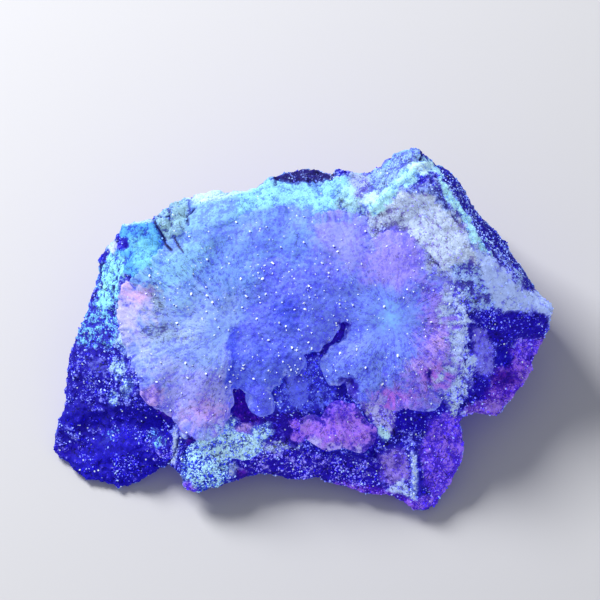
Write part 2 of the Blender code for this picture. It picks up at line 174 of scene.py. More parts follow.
# Where each finish lies: finish, softness and raggedness of its edge in sketch units, then its shape.
# A shape is an outline of (column, row) points, or an oval: column, row, half width, half height.
ROCK_PATCHES = [
    ("cyan_sparse", 3, 4, [(94, 296), (113, 312), (122, 335), (112, 350), (80, 345), (70, 335), (84, 312)]),
    ("slate_rock", 3, 4, (97, 368, 11, 8)),
    ("block_blue", 2, 3, [(113, 219), (127, 220), (154, 216), (172, 250), (160, 292), (116, 268),
        (108, 250)]),
    ("outer_navy", 1, 1, [(92, 246), (109, 246), (106, 262), (99, 285), (90, 292), (90, 262)]),
    ("cyan_bright", 4, 5, (147, 260, 13, 15)),
    ("cyan_bright", 4, 4, (136, 244, 12, 8)),
    ("cyan_band", 2, 4, [(108, 249), (124, 258), (123, 282), (119, 304), (104, 310), (95, 304), (96, 286),
        (101, 264)]),
    ("deep_rock_and_shade", 1.5, 6, [(115, 230), (122, 232), (127, 240), (126, 248), (118, 248), (115, 242)]),
    ("cyan_sparse", 2, 4, [(112, 300), (122, 296), (122, 318), (128, 336), (118, 342), (110, 332)]),
    # Pale rind with a painted highlight along the top-left edge
    ("white_rim", 1, 1, [(113, 216), (130, 219), (156, 214), (154, 221), (140, 222), (127, 225),
        (115, 224)]),
    ("pale_knob", 1, 1, [(108, 243), (116, 239), (117, 247), (113, 253), (108, 250)]),
    ("cyan_patch", 2, 3, (124, 344, 7, 11)),
    ("cyan_patch", 2, 3, (118, 368, 8, 10)),
    ("cyan_patch", 2, 3, (126, 387, 6, 9)),
    ("cyan_patch", 2, 2, (112, 399, 5, 7)),
    # Dark rock with painted shade along the step of the ledge, between the upper left and the lower left lobe
    ("ledge_rock_and_shade", 3, 4, [(58, 405), (100, 414), (130, 406), (150, 402), (176, 404), (178, 424), (160, 426),
        (130, 430), (95, 428), (58, 425)]),
    ("red_violet_rock", 3, 3, (166, 411, 10, 8)),
    ("toe_rock", 3, 4, [(82, 446), (100, 431), (140, 428), (171, 427), (175, 460), (150, 478), (120, 492),
        (74, 482), (58, 464), (72, 450)]),
    ("toe_blue", 4, 4, (116, 447, 22, 10)),
    ("cyan_sparse", 2, 4, [(98, 442), (110, 432), (116, 434), (104, 446)]),
    ("bottom_rock", 3, 6, (160, 448, 9, 15)),
    ("cyan_sparse", 2, 5, (157, 440, 5, 9)),
    ("bottom_rock", 4, 4, (64, 450, 14, 7)),
    ("ice", 1, 1, [(170, 428), (178, 424), (178, 445), (175, 464), (170, 460), (173, 440)]),
    ("ice", 1, 1, [(182, 424), (188, 424), (187, 440), (182, 438)]),
    ("red_violet_rock", 1, 1, [(188, 430), (199, 436), (197, 448), (185, 446)]),
    ("cobbles", 2, 3, [(152, 214), (161, 205), (176, 196), (187, 200), (190, 222), (185, 250), (170, 250),
        (160, 232)]),
    ("smooth_rim", 3, 4, [(188, 200), (235, 190), (246, 215), (226, 234), (200, 246), (184, 240)]),
    ("spray_teal", 3, 3, [(258, 204), (300, 198), (330, 202), (356, 204), (360, 226), (330, 228),
        (290, 222), (258, 226)]),
    ("cyan_rim", 3, 4, [(232, 186), (262, 176), (276, 180), (300, 182), (330, 180), (354, 176), (354, 212),
        (320, 209), (290, 203), (262, 214), (240, 224), (224, 236), (238, 205)]),
    # Pale rind with a painted highlight along the top-left edge
    ("white_rim", 1.5, 2, [(176, 197), (194, 193), (223, 185), (250, 180), (262, 173), (263, 182),
        (250, 191), (224, 197), (198, 203)]),
    ("dark_top", 2, 3, [(266, 174), (280, 166), (305, 163), (330, 165), (342, 170), (330, 181), (308, 184),
        (290, 181), (276, 184)]),
    ("grey_rim", 3, 3, [(352, 170), (372, 170), (380, 190), (366, 205), (350, 202)]),
    ("cobbles", 3, 4, [(335, 196), (362, 196), (368, 216), (350, 222), (334, 214)]),
    ("peak", 2, 2, [(384, 158), (404, 145), (418, 141), (433, 150), (434, 164), (420, 171), (404, 185),
        (385, 197), (370, 194), (366, 174)]),
    ("cream", 3, 3, [(383, 204), (400, 190), (425, 192), (446, 204), (464, 225), (478, 240), (486, 256),
        (484, 288), (466, 302), (445, 288), (428, 282), (414, 264), (405, 238), (390, 234), (368, 252),
        (364, 225), (372, 210)]),
    ("cream_dark", 3, 4, [(367, 214), (385, 207), (402, 214), (408, 232), (395, 238), (378, 241),
        (365, 236)]),
    ("cream_dark", 2, 3, [(414, 246), (424, 252), (436, 266), (450, 284), (462, 300), (454, 300),
        (436, 284), (420, 264)]),
    ("white_rim", 3, 5, (374, 202, 10, 11)),
    ("ice", 2, 2, (375, 247, 6, 5)),
    ("crest", 2, 5, [(368, 206), (380, 194), (398, 178), (412, 166), (422, 159), (434, 163), (438, 175),
        (425, 174), (412, 179), (398, 191), (386, 206), (374, 216)]),
    ("white_rim", 2, 4, (418, 168, 12, 6)),
    ("groove", 1.5, 3, [(400, 190), (413, 182), (428, 183), (446, 200), (452, 212), (444, 210), (430, 199),
        (414, 194)]),
    ("crest", 3, 4, (347, 194, 9, 7)),
    # Painted shade in the notch between the two tips of the peak
    ("painted_shade", 1, 1.5, (423, 151, 2.5, 6)),
    ("outer_navy", 2, 3, (428, 155, 4, 6)),
    ("ridge_speckled", 3, 4, [(450, 268), (466, 260), (484, 262), (500, 284), (502, 310), (480, 314),
        (458, 304), (448, 288)]),
    ("ridge", 2, 2, [(466, 240), (486, 250), (506, 272), (522, 288), (540, 292), (560, 300), (561, 318),
        (554, 332), (548, 318), (530, 312), (510, 313), (496, 306), (486, 290), (478, 268)]),
    ("ridge_speckled", 3, 5, [(430, 162), (442, 177), (455, 196), (470, 217), (483, 238), (494, 256),
        (482, 256), (466, 236), (452, 215), (442, 199), (432, 183)]),
    ("crest", 1, 6, [(430, 164), (440, 177), (453, 196), (467, 217), (480, 238), (490, 256), (482, 254),
        (468, 234), (455, 214), (444, 197), (433, 181)]),
    ("far_rock", 1, 3, [(434, 156), (450, 160), (466, 176), (484, 206), (504, 222), (518, 238), (537, 272),
        (540, 289), (522, 284), (506, 266), (490, 250), (477, 232), (460, 208), (446, 188), (436, 172)]),
    ("ridge_speckled", 2, 4, [(494, 252), (512, 262), (530, 284), (520, 286), (506, 268)]),
    # Painted shade on the concave dark face below the knob
    ("deep_rock_and_shade", 2, 3, [(477, 312), (492, 307), (505, 313), (530, 314), (549, 321), (553, 337), (520, 336),
        (500, 346), (487, 333)]),
    ("plum_rock", 3, 4, [(492, 372), (512, 350), (556, 334), (547, 352), (538, 366), (536, 382), (522, 397),
        (510, 412), (490, 420), (468, 414), (480, 398), (490, 388)]),
    ("lavender_face", 2, 2, [(474, 328), (486, 331), (494, 350), (494, 370), (486, 387), (477, 372),
        (473, 350)]),
    # Painted shade in the hollow at the foot of the lavender face
    ("deep_rock_and_shade", 3, 3, (478, 388, 11, 14)),
    ("toe_blue", 2, 3, (505, 357, 9, 10)),
    ("red_violet_rock", 3, 3, (506, 378, 12, 8)),
    ("lavender_rock", 2, 3, (528, 378, 6, 11)),
    ("violet_rock", 3, 5, (530, 350, 13, 10)),
    ("lavender_rock", 2, 3, [(458, 413), (478, 402), (500, 397), (513, 401), (508, 420), (490, 423),
        (470, 418)]),
    ("pale_band", 2, 7, [(446, 288), (463, 295), (467, 320), (471, 350), (475, 375), (467, 395), (459, 414),
        (448, 422), (439, 414), (444, 396), (452, 380), (454, 355), (452, 330), (448, 310)]),
    # Painted shade in the hollow below the right spray
    ("deep_rock_and_shade", 2, 3, [(395, 404), (410, 400), (430, 404), (446, 400), (449, 418), (438, 422), (425, 426),
        (410, 433), (396, 426), (388, 412)]),
    ("violet_rock", 2, 3, [(430, 422), (447, 413), (462, 420), (470, 445), (467, 468), (454, 494),
        (440, 502), (424, 482), (420, 455), (424, 435)]),
    ("brown_violet", 3, 3, [(376, 455), (395, 448), (408, 455), (411, 480), (400, 484), (388, 486),
        (376, 478)]),
    ("bottom_rock", 3, 4, [(328, 462), (360, 458), (378, 468), (380, 492), (350, 490), (324, 480)]),
    ("plum_rock", 2, 3, [(328, 484), (352, 491), (372, 498), (397, 501), (415, 514), (430, 518), (444, 510),
        (440, 498), (415, 499), (395, 492), (370, 488), (345, 482)]),
    ("violet_rock", 2, 3, (428, 503, 12, 8)),
    ("ice", 1, 1.5, [(411, 453), (417, 455), (417, 478), (417, 499), (411, 498), (412, 475)]),
    ("deep_rock_and_shade", 0.7, 1, [(418, 456), (421, 456), (422, 496), (419, 497)]),
    ("pale_band", 2, 3, [(388, 489), (402, 480), (411, 482), (412, 499), (397, 497)]),
    # Painted shade in the triangular pit
    ("painted_shade", 1, 1, [(361, 444), (376, 445), (377, 462), (370, 458)]),
    ("pale_cream", 2, 3, [(352, 392), (385, 396), (398, 408), (395, 428), (384, 437), (374, 425),
        (362, 406)]),
    ("cyan_patch", 2, 4, (384, 433, 6, 6)),
    ("dark_violet", 2, 2, [(358, 429), (374, 427), (382, 440), (372, 447), (360, 446)]),
    ("hollow", 3, 3, [(258, 386), (280, 368), (306, 362), (322, 350), (334, 362), (334, 402), (314, 413),
        (298, 410), (285, 416), (270, 414)]),
    ("dark_violet", 3, 3, [(254, 415), (300, 411), (302, 440), (290, 450), (260, 446)]),
    ("violet_spray", 1, 1.5, (296, 424, 6, 5)),
    ("violet_spray", 1, 1.5, (298, 436, 8, 5)),
    ("lobe", 1, 1.5, [(284, 362), (302, 362), (307, 378), (309, 397), (301, 408), (291, 405), (286, 390),
        (283, 374)]),
    ("red_violet_rock", 2, 2, [(230, 384), (250, 387), (253, 411), (264, 421), (256, 431), (242, 426),
        (229, 410)]),
    ("cyan_patch", 2, 3, [(198, 420), (232, 416), (237, 440), (241, 453), (222, 451), (205, 446)]),
    ("pink_lavender", 2, 2, (244, 432, 9, 8)),
    ("cyan_patch", 2, 2, [(250, 428), (270, 423), (273, 434), (262, 445), (250, 443)]),
    ("pale_band", 3, 4, [(235, 441), (270, 440), (300, 447), (302, 456), (270, 457), (240, 453)]),
    ("bottom_rock", 3, 4, [(238, 456), (300, 451), (334, 460), (328, 480), (297, 488), (262, 478),
        (245, 474)]),
    ("cyan_lump", 2, 2, [(180, 455), (195, 447), (212, 451), (227, 465), (228, 482), (214, 494), (197, 499),
        (183, 499), (179, 478)]),
    ("violet_rock", 2, 3, (187, 490, 8, 8)),
    ("ice", 1, 2, (233, 471, 5, 7)),
    ("red_violet_rock", 2, 2, (243, 475, 7, 6)),
    # Painted shade in the crevice
    ("painted_shade", 1, 1, [(206, 450), (214, 446), (227, 457), (224, 467), (214, 459)]),
    # Painted shade in the cleft between the plate and the right spray
    ("dark_violet", 1, 2, [(318, 358), (326, 350), (344, 340), (350, 322), (338, 320), (330, 337)]),
]
CRUST_PATCHES = [
    ("spray_upper", 6, 6, [(128, 270), (250, 215), (262, 300), (236, 320), (150, 330)]),
    ("spray", 6, 6, [(126, 300), (180, 290), (238, 300), (240, 350), (232, 390), (150, 390), (130, 350)]),
    ("spray_teal", 4, 6, [(146, 262), (170, 246), (200, 234), (236, 220), (264, 206), (264, 222),
        (240, 234), (214, 246), (194, 262), (178, 288), (156, 298)]),
    # Painted light: these patches brighten the lower part of the left spray, which faces away from the key
    # lamp
    ("spray_bright", 4, 5, (168, 372, 18, 13)),
    ("spray_bright", 3, 4, (147, 344, 8, 12)),
    ("spray_core", 6, 4, (220, 330, 17, 19)),
    ("spray_lavender", 6, 6, [(150, 392), (180, 376), (232, 360), (236, 395), (228, 436), (200, 436),
        (176, 424), (156, 408)]),
    ("pale_lavender", 4, 5, (135, 313, 12, 20)),
    ("pink", 3, 3, (141, 296, 10, 6)),
    ("spray_pale", 3, 4, (182, 300, 15, 10)),
    ("spray_grey", 3, 4, (154, 303, 8, 11)),
    ("spray_grey", 3, 4, (164, 334, 15, 8)),
    ("spray_grey", 3, 4, (186, 333, 10, 5)),
    ("pink_lavender", 4, 4, (208, 412, 20, 10)),
    ("pink_lavender", 2, 3, (152, 394, 9, 8)),
    ("plate_upper", 8, 8, [(205, 234), (285, 208), (325, 220), (330, 262), (262, 276), (235, 262)]),
    ("top_violet", 5, 5, [(316, 222), (336, 215), (366, 220), (368, 252), (356, 284), (332, 288),
        (318, 262)]),
    ("right_spray", 6, 6, [(340, 275), (420, 278), (446, 300), (450, 350), (430, 390), (380, 396),
        (326, 390), (324, 350), (352, 325)]),
    ("pink_violet", 5, 5, [(368, 250), (388, 236), (406, 238), (420, 258), (420, 284), (395, 292),
        (366, 284)]),
    ("right_core", 9, 5, (388, 322, 30, 28)),
    ("bright_core", 4, 3, (392, 317, 8, 7)),
    ("right_violet", 5, 5, [(420, 284), (450, 280), (460, 330), (456, 366), (440, 394), (416, 388),
        (414, 350), (424, 318)]),
    ("pink_lavender", 4, 4, (420, 368, 12, 9)),
    ("pink_lavender", 3, 4, (436, 340, 7, 12)),
    ("right_violet", 5, 5, (416, 388, 22, 14)),
    ("magenta", 3, 4, (390, 397, 15, 7)),
    ("magenta", 3, 4, (434, 378, 8, 6)),
    ("pale_band", 2, 8, [(443, 282), (458, 296), (464, 330), (464, 366), (456, 392), (440, 408), (432, 402),
        (444, 384), (451, 352), (449, 320), (444, 300)]),
    ("plate", 6, 6, [(270, 262), (330, 262), (338, 290), (346, 318), (326, 346), (296, 372), (262, 392),
        (246, 388), (246, 340), (254, 296)]),
    ("plate", 1.5, 3, [(240, 322), (262, 318), (266, 392), (236, 390)]),
    ("plate_dark", 5, 4, (288, 318, 14, 14)),
    ("plate_low", 3, 4, [(238, 342), (300, 338), (302, 374), (280, 388), (262, 398), (236, 390)]),
    # A painted shadow line along the plate's left edge
    ("plate_dark", 1.2, 3, [(231, 326), (239, 322), (237, 386), (224, 388), (228, 356)]),
    ("flake", 1, 1, [(246, 386), (266, 386), (275, 402), (270, 415), (255, 412)]),
    # Painted shade in the hole in the crust
    ("painted_shade", 1, 2, (430, 376, 3, 5)),
    # Painted shade in the hollow at the crust's lower edge
    ("dark_violet", 1, 3, [(338, 380), (352, 377), (358, 386), (356, 398), (345, 404), (332, 402),
        (327, 388)]),
    # Painted shade in the cleft between the plate and the right spray
    ("dark_violet", 1, 2, [(318, 358), (326, 350), (344, 340), (350, 322), (342, 318), (330, 337)]),
]
VIOLET_PATCHES = [
    ("violet_spray", 4, 3, [(298, 400), (380, 398), (380, 455), (298, 450)]),
    ("violet_deep", 4, 3, (336, 410, 14, 9)),
    ("violet_pale", 2, 2, (314, 440, 6, 5)),
    ("violet_pale", 2, 2, (336, 447, 13, 4)),
    ("violet_pale", 2, 2, (358, 450, 10, 4)),
]
DRUSE_PATCHES = [
    ("cyan_patch", 4, 3, [(196, 418), (268, 418), (268, 462), (224, 462), (196, 452)]),
]

# Hollows (negative) and swellings: height in millimetres, softness in units, shape
RELIEF_PATCHES = [
    (-1.3, 2, [(361, 444), (376, 445), (377, 462), (370, 458)]),
    (-0.9, 4, [(232, 388), (249, 390), (252, 411), (260, 421), (254, 430), (242, 424), (231, 410)]),
    (-1.1, 2, [(206, 450), (214, 446), (227, 457), (224, 467), (214, 459)]),
    (0.7, 2, [(284, 362), (302, 362), (307, 378), (309, 397), (301, 408), (291, 405), (286, 390),
        (283, 374)]),
    (0.5, 3, (164, 224, 6, 6)),
    (0.5, 3, (176, 211, 7, 7)),
    (0.5, 3, (177, 231, 6, 6)),
    (0.5, 2, (187, 203, 5, 4)),
    (0.4, 2, (296, 424, 6, 5)),
    (0.4, 2, (298, 436, 8, 5)),
    (-0.7, 4, (384, 160, 11, 6)),
    (0.6, 3, (416, 149, 5, 5)),
    (-0.5, 3, [(404, 184), (420, 177), (432, 181), (447, 197), (440, 200), (425, 193), (410, 191)]),
    (-0.5, 4, (478, 388, 10, 12)),
    (-0.4, 4, (505, 357, 8, 9)),
    (-0.5, 3, [(395, 404), (430, 404), (446, 402), (447, 418), (425, 424), (410, 431), (396, 424)]),
]
CRUST_RELIEF = [
    (-0.7, 2, (430, 376, 3, 5)),
    (-0.8, 3, [(340, 380), (352, 377), (353, 396), (345, 404), (332, 402), (327, 388)]),
    (0.25, 4, (288, 318, 13, 13)),
]
# Cracks: how strong, half width in units, then the points of the line
CRACKS = [
    (1.0, 1.7, [(152, 216), (157, 228), (163, 238), (172, 250)]),
    (0.9, 1.3, [(175, 237), (179, 245), (184, 253)]),
    (0.8, 1.2, [(195, 208), (187, 216), (189, 225)]),
    (0.6, 0.9, [(155, 214), (164, 219), (170, 216)]),
    (0.6, 0.9, [(167, 204), (171, 214), (169, 222), (175, 230)]),
    (0.5, 1.0, [(412, 238), (421, 247), (433, 262), (447, 280)]),
    (0.5, 1.1, [(440, 200), (448, 211), (460, 228)]),
    (0.7, 1.3, [(423, 145), (424, 152), (420, 160)]),
    (0.8, 1.2, [(168, 466), (174, 452), (178, 440)]),
    (0.6, 1.0, [(106, 253), (100, 268), (99, 280), (105, 304), (113, 316)]),
    (0.35, 1.0, [(113, 262), (119, 274), (112, 292), (114, 320)]),
    (0.4, 1.2, [(80, 335), (97, 344), (117, 350), (126, 371)]),
    (0.7, 1.0, [(208, 452), (218, 458), (228, 470)]),
]
# Crests that stand up in a line: height in millimetres, half width in units, points
CRESTS = [
    (0.5, 5, [(370, 212), (384, 197), (400, 184), (413, 171), (425, 164)]),
    (0.4, 5, [(431, 165), (443, 183), (457, 206), (472, 227), (490, 254)]),
    (0.3, 4, [(196, 197), (224, 191), (250, 186), (261, 178)]),
    (0.35, 3, [(172, 464), (174, 444), (174, 428)]),
    (0.35, 3, [(414, 455), (414, 478), (414, 498)]),
]

CRUST_OUTLINE = [
    (128, 290), (152, 272), (172, 246), (205, 234), (245, 222), (285, 212), (322, 222), (336, 217),
    (362, 222), (368, 250), (388, 238), (404, 240), (418, 258), (422, 277), (445, 281), (450, 308),
    (457, 336), (452, 366), (441, 388), (430, 404), (408, 400), (392, 402), (372, 393), (356, 396),
    (346, 380), (330, 384), (324, 366), (328, 350), (345, 340), (350, 322), (338, 320), (330, 337),
    (318, 349), (300, 353), (307, 365), (296, 374), (286, 368), (279, 385), (266, 388), (273, 402),
    (270, 413), (256, 411), (249, 398), (240, 384), (231, 386), (232, 402), (226, 420), (208, 432),
    (190, 428), (178, 412), (162, 402), (150, 396), (146, 374), (134, 350), (125, 320),
]
VIOLET_OUTLINE = [
    (301, 420), (312, 416), (322, 421), (330, 406), (344, 402), (356, 408), (366, 424), (376, 428),
    (374, 441), (362, 452), (344, 446), (326, 450), (312, 441), (302, 434),
]
# Around the crust's free lower edge, where it stands proud of the rock
LOWER_EDGE = [
    (226, 380), (262, 368), (300, 345), (322, 312), (358, 312), (358, 345), (346, 366), (356, 386),
    (350, 404), (340, 410), (300, 400), (280, 424), (240, 424), (224, 430),
]
PLATE_OUTLINE = [
    (238, 262), (262, 246), (330, 250), (346, 276), (346, 318), (326, 346), (300, 372), (262, 396),
    (232, 392), (234, 320),
]
# Where the crystals of each spray radiate from: column, row
SPRAY_MIDDLES = {
    "creedite_crust": [(238, 325), (392, 318)],
    "violet_spray": [(332, 392)],
    "lower_druse": [(210, 440)],
}


def linear(colour):
    """A display colour of 0 to 255 as linear light."""
    share = np.asarray(colour, float) / 255
    return np.where(share <= 0.04045, share / 12.92, ((share + 0.055) / 1.055) ** 2.4)


def smooth_step(value):
    t = np.clip(value, 0, 1)
    return t * t * (3 - 2 * t)


def rows_of(items, name):
    """A three-number property of a mesh's points or faces, one row to each."""
    rows = np.empty(len(items) * 3)
    items.foreach_get(name, rows)
    return rows.reshape(-1, 3)


def points_of(obj):
    return rows_of(obj.data.vertices, "co")


def normals_of(obj):
    return rows_of(obj.data.vertex_normals, "vector")


def facing_of(obj):
    """How squarely each point faces the display side: 1 straight on, 0 side on."""
    return normals_of(obj) @ FACE


def set_points(obj, places):
    obj.data.vertices.foreach_set("co", places.ravel())
    obj.data.update()


def on_sketch(places):
    """Columns and rows of the sketch grid below points of the model."""
    up = places[:, 1] * math.cos(TIP_BACK) + places[:, 2] * math.sin(TIP_BACK)
    return np.column_stack([CENTRE + places[:, 0] / UNIT, CENTRE - up / UNIT])


def distance_to_runs(sketch, start, run):
    away = sketch[:, None] - start[None]
    along = np.clip((away * run).sum(2) / (run**2).sum(1), 0, 1)
    return np.linalg.norm(away - along[..., None] * run, axis=2).min(1)


def distance_to_line(sketch, points):
    corners = np.array(points, float)
    return distance_to_runs(sketch, corners[:-1], corners[1:] - corners[:-1])


def distance_inside(sketch, shape):
    """How far inside a shape each place of the sketch lies, in units: negative outside it."""
    if not isinstance(shape[0], tuple):
        column, row, half_width, half_height = shape
        reach = np.hypot((sketch[:, 0] - column) / half_width, (sketch[:, 1] - row) / half_height)
        return (1 - reach) * min(half_width, half_height)
    start = np.array(shape, float)
    run = np.roll(start, -1, axis=0) - start
    away = sketch[:, None] - start[None]
    above = sketch[:, None, 1] < start[None, :, 1]
    crosses = above != (sketch[:, None, 1] < (start + run)[None, :, 1])
    rise = np.where(run[:, 1] == 0, 1e-9, run[:, 1])
    left = away[..., 0] < away[..., 1] / rise * run[:, 0]
    inside = (crosses & left).sum(1) % 2 == 1
    distance = distance_to_runs(sketch, start, run)
    return np.where(inside, distance, -distance)


def fractal(places, size, octaves):
    """Fractal noise of a grain size, one value to each place."""
    return np.array([noise.fractal(Vector(p) / size, 1.0, 2.0, octaves) for p in places])


def knobs(places, size):
    """Rounded knobs of a size packed side by side: 0.4 on top, and below 0 in the creases."""
    reach = np.array([noise.voronoi(Vector(p) / size)[0][0] for p in places])
    return 0.4 - reach


def wander_of(places):
    """Sideways wander that tatters the edges of patches: broad bays, crumbs and single grains."""
    wander = np.empty((len(places), 2))
    for index, place in enumerate(places):
        spot = Vector(place)
        broad = noise.noise_vector(spot / (3.2 * MM))
        crumbs = noise.noise_vector(spot / (1.0 * MM))
        fine = noise.noise_vector(spot / (0.45 * MM))
        wander[index] = (broad * 1.5 + crumbs * 1.1 + fine * 0.6)[:2]
    return wander


def rays_of(sketch, middles):
    """Direction and distance from the nearest spray's middle, and noise drawn out into rays along it."""
    runs = [(sketch - np.array(middle)) * UNIT for middle in middles]
    reach = np.array([np.linalg.norm(run, axis=1) for run in runs])
    nearest = reach.argmin(0)
    run = np.array(runs)[nearest, np.arange(len(sketch))]
    distance = reach.min(0)
    direction = run / np.maximum(distance, 1e-6)[:, None]
    fan = np.column_stack([direction, distance / (12 * MM)])
    rays = np.array([noise.fractal(Vector((f[0] * 9, f[1] * 9, f[2])), 1.0, 2.0, 3) for f in fan])
    return fan, rays


# Painting

def coat_of(finish):
    light, dark, cover, glint, lumps = FINISHES[finish]
    return np.concatenate([linear(light) * GRAIN_LIFT, linear(dark) * GAP_LIFT, [cover, glint, lumps]])


def blend(coat, finish, share):
    coat += (coat_of(finish) - coat) * np.clip(share, 0, 1)[:, None]


def paint(sketch, wander, speckle, base, patches, spread):
    """The coat at each place: a base finish with patches over it, their edges softened and tattered."""
    coat = np.tile(coat_of(base), (len(sketch), 1))
    for finish, softness, tatter, shape in patches:
        inside = distance_inside(sketch + tatter * wander, shape)
        blend(coat, finish, smooth_step(0.5 + inside / (2 * softness * spread) + 0.4 * speckle))
    return coat


def paint_face(places, sketch, fan, rays, on_crust):
    """The display face: the crust's colours run on into the rock, except along its free lower edge."""
    wander = wander_of(places)
    speckle = fractal(places, SPECKLE, 2)
    along = fan[:, :2] * rays[:, None] * np.array((1, -1)) * 1.1
    coat = paint(sketch, wander * 0.8, speckle, "navy_rock", ROCK_PATCHES, 1.3)
    growth = paint(sketch, wander * 1.3 + along, speckle, "plate", CRUST_PATCHES, CRUST_SPREAD)
    inside = distance_inside(sketch, CRUST_OUTLINE)
    ragged_edge = distance_inside(sketch + 5 * wander, CRUST_OUTLINE)
    field = smooth_step(0.5 + (ragged_edge + 4) / 15 + 0.3 * speckle)
    free = smooth_step((distance_inside(sketch, LOWER_EDGE) + 6) / 10)
    if on_crust:
        share = field + (1 - field) * free
    else:
        share = field * (1 - free)
        # Painted shadow on the rock just below the crust's free lower edge
        blend(coat, "painted_shade", 0.75 * free * smooth_step(1 + inside / 7))
    coat += (growth - coat) * share[:, None]
    if on_crust:
        # A painted highlight: a thin pale band along the crust's free lower edge
        rim = np.exp(-((inside - 0.6) / 0.8) ** 2) * free
        blend(coat, "rim_highlight", 0.5 * rim * smooth_step(0.5 + 1.5 * speckle))
    for strength, half_width, points in CRACKS:
        line = distance_to_line(sketch + (2.2 - 1.6 * strength) * wander, points)
        whole = smooth_step(strength + 1.6 * (1 - strength) * speckle)
        blend(coat, "crack", whole * smooth_step(1.4 - line / half_width))
    return coat


def paint_flank(coat, places, below, ragged, facing):
    """Sides, back and underside: dark rock with violet and slate patches, and a rind over the upper edge."""
    broad = fractal(places + 0.5, 14 * MM, 5)
    clods = fractal(places + 0.2, 3.5 * MM, 4)
    flank = np.tile(coat_of("flank_rock"), (len(places), 1))
    blend(flank, "violet_rock", 0.8 * smooth_step((broad + 0.3 * clods - 0.1) / 0.3))
    blend(flank, "plum_rock", 0.7 * smooth_step((broad + 0.3 * clods - 0.42) / 0.25))
    blend(flank, "slate_rock", 0.7 * smooth_step((-broad - 0.3 * clods - 0.16) / 0.25))
    blend(flank, "deep_rock_and_shade", 0.9 * smooth_step((clods - 0.12) / 0.2))
    blend(flank, "lavender_rock", 0.6 * smooth_step((-clods - 0.34) / 0.15))
    # Painted shade: steep faces of the rind are turned darker, towards cyan_sparse, where the key lamp from
    # behind lights them
    blend(coat, "cyan_sparse", 0.65 * smooth_step((0.3 - facing) / 0.4))
    rind = np.maximum(0.6 * MM + 1.3 * MM * ragged + 1.1 * MM * broad + 0.9 * MM * clods, THINNEST_RIND)
    hidden = smooth_step((below - rind) / (0.5 * MM))[:, None]
    return coat + (flank - coat) * hidden


def paint_wedge(places, sketch, rays):
    """The violet wedge: paler and deeper rays, with the dark rock breaking up its edge."""
    wander = wander_of(places)
    speckle = fractal(places, SPECKLE, 2)
    coat = paint(sketch, wander, speckle, "violet_spray", VIOLET_PATCHES, 1.5)
    edge = distance_inside(sketch + 4 * wander, VIOLET_OUTLINE)
    blend(coat, "dark_violet", smooth_step(0.9 - edge / 3.5) * smooth_step(0.9 + 2 * speckle))
    blend(coat, "dark_violet", 0.4 * smooth_step((speckle - 0.36) / 0.14))
    blend(coat, "violet_pale", 0.22 * smooth_step((rays + speckle) / 0.5))
    blend(coat, "violet_deep", 0.4 * smooth_step((-rays + 0.6 * speckle) / 0.5))
    return coat


# Skins

def select_only(obj):
    bpy.ops.object.select_all(action="DESELECT")
    obj.select_set(True)
    bpy.context.view_layer.objects.active = obj


def apply_modifier(obj, kind, **settings):
    select_only(obj)
    step = obj.modifiers.new(kind.lower(), kind)
    for name, value in settings.items():
        setattr(step, name, value)
    bpy.ops.object.modifier_apply(modifier=step.name)


def refine(obj, chosen):
    """Subdivides the chosen faces only."""
    select_only(obj)
    bpy.ops.object.mode_set(mode="EDIT")
    bpy.ops.mesh.select_all(action="DESELECT")
    bpy.ops.mesh.select_mode(type="FACE")
    bpy.ops.object.mode_set(mode="OBJECT")
    obj.data.polygons.foreach_set("select", chosen)
    bpy.ops.object.mode_set(mode="EDIT")
    bpy.ops.mesh.subdivide(number_cuts=1)
    bpy.ops.object.mode_set(mode="OBJECT")


def dense_copy(node, name, cell, smoothing):
    """A copy of a solid as one even skin, with its plain facets smoothed, and finer where it is looked at."""
    obj = bpy.data.objects.new(name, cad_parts[node].data.copy())
    bpy.context.scene.collection.objects.link(obj)
    obj.data.materials.clear()
    apply_modifier(obj, "WELD", merge_threshold=0.00001)
    apply_modifier(obj, "REMESH", mode="VOXEL", voxel_size=cell)
    apply_modifier(obj, "SMOOTH", factor=0.5, iterations=smoothing)
    shown = rows_of(obj.data.polygons, "normal") @ FACE > 0.2
    if node == "matrix":
        centres = on_sketch(rows_of(obj.data.polygons, "center"))
        shown &= distance_inside(centres, CRUST_OUTLINE) < 5
    refine(obj, shown)
    select_only(obj)
    bpy.ops.object.shade_smooth()
    return obj


def depth_below(obj):
    """How far each point lies below the outermost surface towards the display side."""
    tree = BVHTree.FromObject(obj, bpy.context.evaluated_depsgraph_get())
    away = FACE_NORMAL * 80 * MM
    depths = []
    for place in points_of(obj):
        start = Vector(place)
        hit = tree.ray_cast(start + away, -FACE_NORMAL)[0]
        depths.append((hit - start).dot(FACE_NORMAL) if hit else 0.0)
    return np.maximum(np.array(depths), 0)


def add_attribute(mesh, name, kind, values):
    field = {"FLOAT": "value", "FLOAT_COLOR": "color", "FLOAT_VECTOR": "vector"}[kind]
    if kind == "FLOAT_COLOR":
        values = np.column_stack([values, np.ones(len(values))])
    layer = mesh.attributes.new(name, kind, "POINT")
    layer.data.foreach_set(field, np.ascontiguousarray(values, dtype=np.float32).ravel())


def coat_piece(obj, coat, raised):
    add_attribute(obj.data, "grain_colour", "FLOAT_COLOR", coat[:, GRAIN])
    add_attribute(obj.data, "gap_colour", "FLOAT_COLOR", coat[:, GAP])
    add_attribute(obj.data, "cover", "FLOAT", coat[:, COVER])
    add_attribute(obj.data, "glint", "FLOAT", coat[:, GLINT])
    add_attribute(obj.data, "lumps", "FLOAT", coat[:, LUMPS])
    # raised is how high a point stands among its knobs and rays; the materials paint shade into the low
    # points with it
    add_attribute(obj.data, "raised", "FLOAT", np.clip(raised, 0, 1))


def add_hollows(relief, sketch, patches, share=1.0):
    """Adds a list of hollows and swellings to a relief."""
    for height, softness, shape in patches:
        edge = (distance_inside(sketch, shape) + softness) / (2 * softness)
        relief += share * height * MM * smooth_step(edge)


